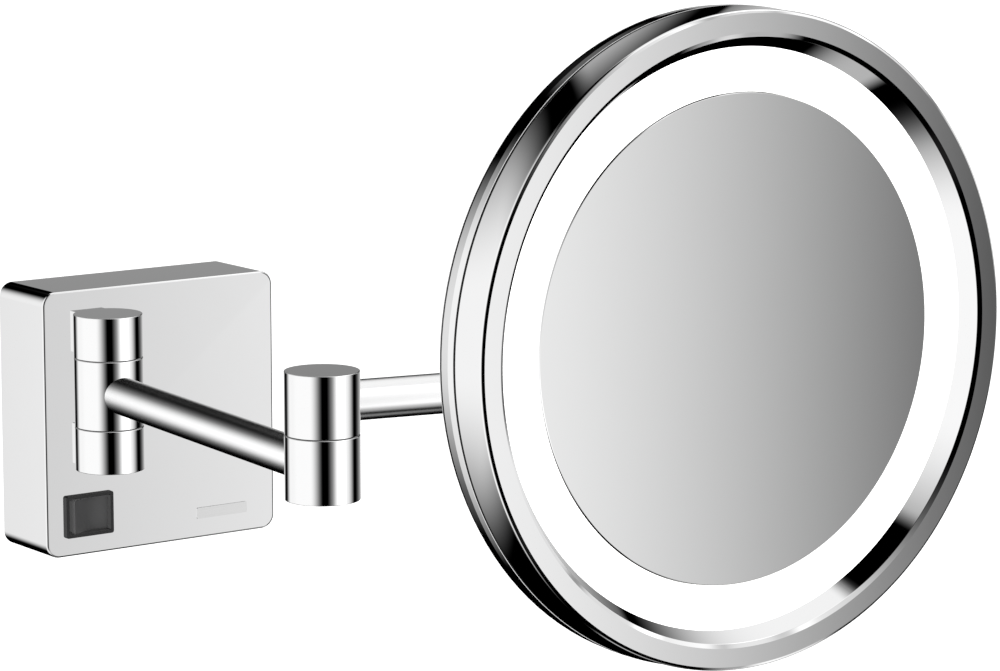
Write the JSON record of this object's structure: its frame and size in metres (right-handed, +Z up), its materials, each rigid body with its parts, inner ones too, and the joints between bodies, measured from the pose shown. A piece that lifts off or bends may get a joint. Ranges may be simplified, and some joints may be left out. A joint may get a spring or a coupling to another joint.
{
  "type": "extendable shaving mirror",
  "caption": "Wall-mounted round mirror with a lit ring, on a folding arm from a square wall box with a rocker switch; the head pans and tilts",
  "frame": {"origin": "centre of the wall screw pattern, on the wall plate's back face", "axes": "+Z up; the wall plane is XZ and the mirror stands out from it along -Y; +X is to the right as seen from the room"},
  "size_m": [0.2285, 0.2779, 0.21],
  "materials": {
    "chrome_shell": "polished chrome plate",
    "chrome_knuckle": "polished chrome plate",
    "chrome_tube": "polished chrome plate",
    "zinc_steel": "zinc plated",
    "white_plastic": "moulded, matte",
    "brass_parts": "plain",
    "lead_black": "smooth insulation",
    "lead_red": "smooth insulation",
    "black_plastic": "moulded, semi-gloss",
    "rocker_black": "moulded, semi-gloss",
    "satin_badge": "satin",
    "plate_aluminium": "rolled sheet",
    "board_white": "white solder mask",
    "led_yellow": "phosphor",
    "lit_opal": "opal acrylic, lit",
    "foam_white": "foam",
    "silvered_glass": "silvered, flat",
    "black_rubber": "moulded"
  },
  "bodies": {
    "wall_unit": {"wall_plate": "zinc_steel", "box_cover": "chrome_shell", "cover_grub_screws": "zinc_steel", "led_driver": "white_plastic", "driver_screws": "zinc_steel", "terminal_block": "white_plastic", "terminal_screws": "brass_parts", "wall_leads": "lead_black", "switch_housing": "black_plastic", "switch_terminals": "brass_parts", "bracket_top": "chrome_knuckle", "bracket_bottom": "chrome_knuckle", "bracket_screws": "zinc_steel", "wall_pin": "zinc_steel", "wall_washers": "black_plastic", "blank_badge": "satin_badge"},
    "rocker": {"switch_rocker": "rocker_black"},
    "arm_1": {"sleeve_1": "chrome_knuckle", "arm_1_tube": "chrome_tube", "elbow_lower": "chrome_knuckle", "elbow_pin": "zinc_steel", "elbow_cap": "chrome_knuckle", "elbow_washer": "black_plastic", "arm_1_cable": "lead_red"},
    "arm_2": {"elbow_upper": "chrome_knuckle", "elbow_grub": "zinc_steel", "arm_2_tube": "chrome_tube", "wrist_lower": "chrome_knuckle", "wrist_pin": "zinc_steel", "wrist_cap": "chrome_knuckle", "wrist_washer": "black_plastic", "arm_2_cable": "lead_red"},
    "head_neck": {"wrist_upper": "chrome_knuckle", "wrist_grub": "zinc_steel", "neck_cable": "lead_red"},
    "head": {"tilt_bracket": "zinc_steel", "tilt_pin": "zinc_steel", "tilt_nut": "zinc_steel", "tilt_washers": "black_plastic", "tilt_screws": "zinc_steel", "back_stiffener": "zinc_steel", "rear_cover": "chrome_shell", "head_screws": "zinc_steel", "mounting_plate": "plate_aluminium", "light_tray": "white_plastic", "led_board": "board_white", "leds": "led_yellow", "diffuser_ring": "lit_opal", "mirror_pad": "foam_white", "mirror_glass": "silvered_glass", "front_bezel": "chrome_shell", "seal_ring": "black_rubber", "grommet": "black_rubber", "head_cable": "lead_black"}
  },
  "joints": [
    {"name": "rocker_switch", "type": "hinge", "parent": "wall_unit", "child": "rocker", "pos_m": [-0.031, -0.029, -0.0325], "axis": [0, 0, 1], "range_deg": [-20, 0]},
    {"name": "arm_1_swing", "type": "hinge", "parent": "wall_unit", "child": "arm_1", "pos_m": [-0.03, -0.046, 0.01325], "axis": [0, 0, 1], "range_deg": [-75, 75]},
    {"name": "arm_2_swing", "type": "hinge", "parent": "arm_1", "child": "arm_2", "pos_m": [-0.04351, -0.20041, 0.02375], "axis": [0, 0, 1], "range_deg": [-165, 20]},
    {"name": "head_pan", "type": "hinge", "parent": "arm_2", "child": "head_neck", "pos_m": [0.068, -0.22411, 0.044], "axis": [0, 0, 1], "range_deg": [-15, 90]},
    {"name": "head_tilt", "type": "hinge", "parent": "head_neck", "child": "head", "pos_m": [0.068, -0.24511, 0.0515], "axis": [1, 0, 0], "range_deg": [-20, 20]}
  ]
}
